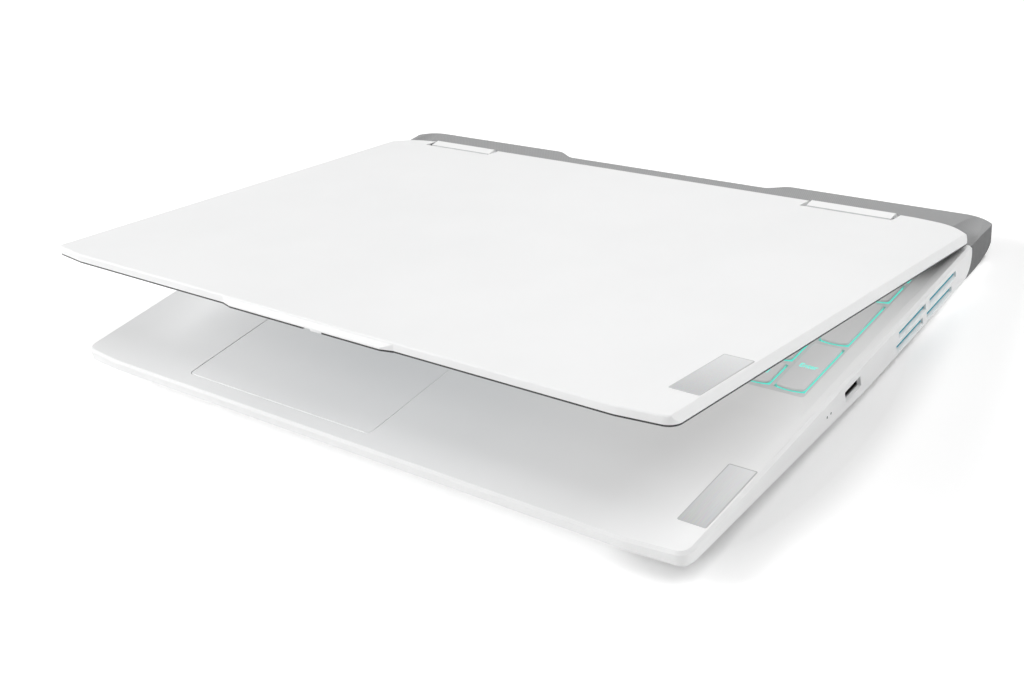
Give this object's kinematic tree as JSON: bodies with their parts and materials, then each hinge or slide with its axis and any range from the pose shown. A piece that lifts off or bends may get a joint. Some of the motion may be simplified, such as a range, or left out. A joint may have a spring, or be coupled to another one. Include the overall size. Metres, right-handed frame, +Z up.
{
  "type": "laptop computer",
  "caption": "White notebook computer with its lid part open: bow-fronted backlit keys, number pad, offset touchpad, grey rear shelf with exhausts and coloured side vents.",
  "frame": {"origin": "on the table under the middle of the base's footprint", "axes": "+X to the user's right, +Y from the user to the rear, +Z up from the table"},
  "size_m": [0.3596, 0.2632, 0.0731],
  "materials": {
    "white_shell": "fine matt",
    "touch_surface": "smooth matt",
    "grey_shelf": "fine diagonal grain",
    "black_bezel": "fine matt",
    "screen": "dark, low gloss",
    "vent_teal": "matt",
    "rubber": "matt",
    "screw_steel": "satin",
    "socket_metal": "satin",
    "socket_plastic": "matt",
    "badge_metal": "satin",
    "key_plastic": "fine matt",
    "key_web": "matt",
    "light_guide": "clear, lit from its edge",
    "switch_sheet": "translucent film",
    "plate_steel": "satin",
    "hinge_steel": "satin",
    "circuit_board": "lacquered",
    "copper": "plain copper",
    "black_plastic": "matt",
    "light_lens": "clear"
  },
  "bodies": {
    "base": {"audio_jack": "socket_plastic", "battery_pack": "black_plastic", "bottom_cover": "white_shell", "case_screws": "screw_steel", "compact_port_left": "socket_metal", "data_port_left": "socket_metal", "data_port_right": "socket_metal", "fan_housing_left": "black_plastic", "fan_housing_right": "black_plastic", "heatsink": "copper", "hinge_base_bracket_left": "hinge_steel", "hinge_base_bracket_right": "hinge_steel", "hinge_cover_left": "white_shell", "hinge_cover_right": "white_shell", "hinge_screws": "screw_steel", "key_switch_sheet": "switch_sheet", "keyboard_baseplate": "plate_steel", "keyboard_frame": "key_web", "keyboard_light_guide": "light_guide", "memory_module": "circuit_board", "motherboard": "circuit_board", "network_port": "socket_metal", "palmrest_badge": "badge_metal", "power_inlet": "socket_metal", "rear_cover": "grey_shelf", "rubber_feet": "rubber", "side_vent_grille_left": "vent_teal", "side_vent_grille_right": "vent_teal", "speaker_left": "black_plastic", "speaker_right": "black_plastic", "ssd_card": "circuit_board", "status_lights": "light_lens", "top_case": "white_shell", "video_port": "socket_metal", "wireless_card": "circuit_board"},
    "lid": {"lid_cover": "white_shell", "screen_bezel": "black_bezel", "display_panel": "screen", "webcam_module": "circuit_board", "lid_badge": "badge_metal", "hinge_pin_left": "hinge_steel", "hinge_pin_right": "hinge_steel", "hinge_lid_bracket_left": "hinge_steel", "hinge_lid_bracket_right": "hinge_steel"},
    "function_keys": {"function_keys": "key_plastic"},
    "number_row_keys": {"number_row_keys": "key_plastic"},
    "upper_row_keys": {"upper_row_keys": "key_plastic"},
    "home_row_keys": {"home_row_keys": "key_plastic"},
    "lower_row_keys": {"lower_row_keys": "key_plastic"},
    "bottom_row_keys": {"bottom_row_keys": "key_plastic"},
    "space_bar": {"space_bar": "key_plastic"},
    "arrow_keys": {"arrow_keys": "key_plastic"},
    "numpad_keys": {"numpad_keys": "key_plastic"},
    "numpad_plus_key": {"numpad_plus_key": "key_plastic"},
    "numpad_enter_key": {"numpad_enter_key": "key_plastic"},
    "touchpad": {"touchpad": "touch_surface"},
    "power_button": {"power_button": "white_shell"},
    "fan_rotor_left": {"fan_rotor_left": "black_plastic"},
    "fan_rotor_right": {"fan_rotor_right": "black_plastic"},
    "webcam_shutter": {"webcam_shutter": "white_shell"}
  },
  "joints": [
    {"name": "lid_hinge", "type": "hinge", "parent": "base", "child": "lid", "pos_m": [0, 0.1094, 0.01965], "axis": [-1, 0, 0], "range_deg": [-12.3, 167.7]},
    {"name": "fan_left_spin", "type": "hinge", "parent": "base", "child": "fan_rotor_left", "pos_m": [-0.122, 0.0644, 0.007], "axis": [0, 0, 1], "continuous": true},
    {"name": "fan_right_spin", "type": "hinge", "parent": "base", "child": "fan_rotor_right", "pos_m": [0.122, 0.0644, 0.007], "axis": [0, 0, 1], "continuous": true},
    {"name": "touchpad_click", "type": "hinge", "parent": "base", "child": "touchpad", "pos_m": [-0.0443, -0.0478, 0.01678], "axis": [1, 0, 0], "range_deg": [0, 0.35], "stiffness_Nm_per_rad": 5, "springref_deg": -0.29},
    {"name": "power_button_press", "type": "slide", "parent": "base", "child": "power_button", "axis": [0, 0, -1], "range_m": [0, 0.0006], "stiffness_N_per_m": 400, "springref_m": -0.001},
    {"name": "webcam_shutter_slide", "type": "slide", "parent": "lid", "child": "webcam_shutter", "axis": [-1, 0, 0], "range_m": [0, 0.0042]},
    {"name": "function_keys_press", "type": "slide", "parent": "base", "child": "function_keys", "axis": [0, 0, -1], "range_m": [0, 0.0015], "stiffness_N_per_m": 200, "springref_m": -0.002},
    {"name": "number_row_keys_press", "type": "slide", "parent": "base", "child": "number_row_keys", "axis": [0, 0, -1], "range_m": [0, 0.0015], "stiffness_N_per_m": 200, "springref_m": -0.002},
    {"name": "upper_row_keys_press", "type": "slide", "parent": "base", "child": "upper_row_keys", "axis": [0, 0, -1], "range_m": [0, 0.0015], "stiffness_N_per_m": 200, "springref_m": -0.002},
    {"name": "home_row_keys_press", "type": "slide", "parent": "base", "child": "home_row_keys", "axis": [0, 0, -1], "range_m": [0, 0.0015], "stiffness_N_per_m": 200, "springref_m": -0.002},
    {"name": "lower_row_keys_press", "type": "slide", "parent": "base", "child": "lower_row_keys", "axis": [0, 0, -1], "range_m": [0, 0.0015], "stiffness_N_per_m": 200, "springref_m": -0.002},
    {"name": "bottom_row_keys_press", "type": "slide", "parent": "base", "child": "bottom_row_keys", "axis": [0, 0, -1], "range_m": [0, 0.0015], "stiffness_N_per_m": 200, "springref_m": -0.002},
    {"name": "space_bar_press", "type": "slide", "parent": "base", "child": "space_bar", "axis": [0, 0, -1], "range_m": [0, 0.0015], "stiffness_N_per_m": 200, "springref_m": -0.002},
    {"name": "arrow_keys_press", "type": "slide", "parent": "base", "child": "arrow_keys", "axis": [0, 0, -1], "range_m": [0, 0.0015], "stiffness_N_per_m": 200, "springref_m": -0.002},
    {"name": "numpad_keys_press", "type": "slide", "parent": "base", "child": "numpad_keys", "axis": [0, 0, -1], "range_m": [0, 0.0015], "stiffness_N_per_m": 200, "springref_m": -0.002},
    {"name": "numpad_plus_key_press", "type": "slide", "parent": "base", "child": "numpad_plus_key", "axis": [0, 0, -1], "range_m": [0, 0.0015], "stiffness_N_per_m": 200, "springref_m": -0.002},
    {"name": "numpad_enter_key_press", "type": "slide", "parent": "base", "child": "numpad_enter_key", "axis": [0, 0, -1], "range_m": [0, 0.0015], "stiffness_N_per_m": 200, "springref_m": -0.002}
  ]
}
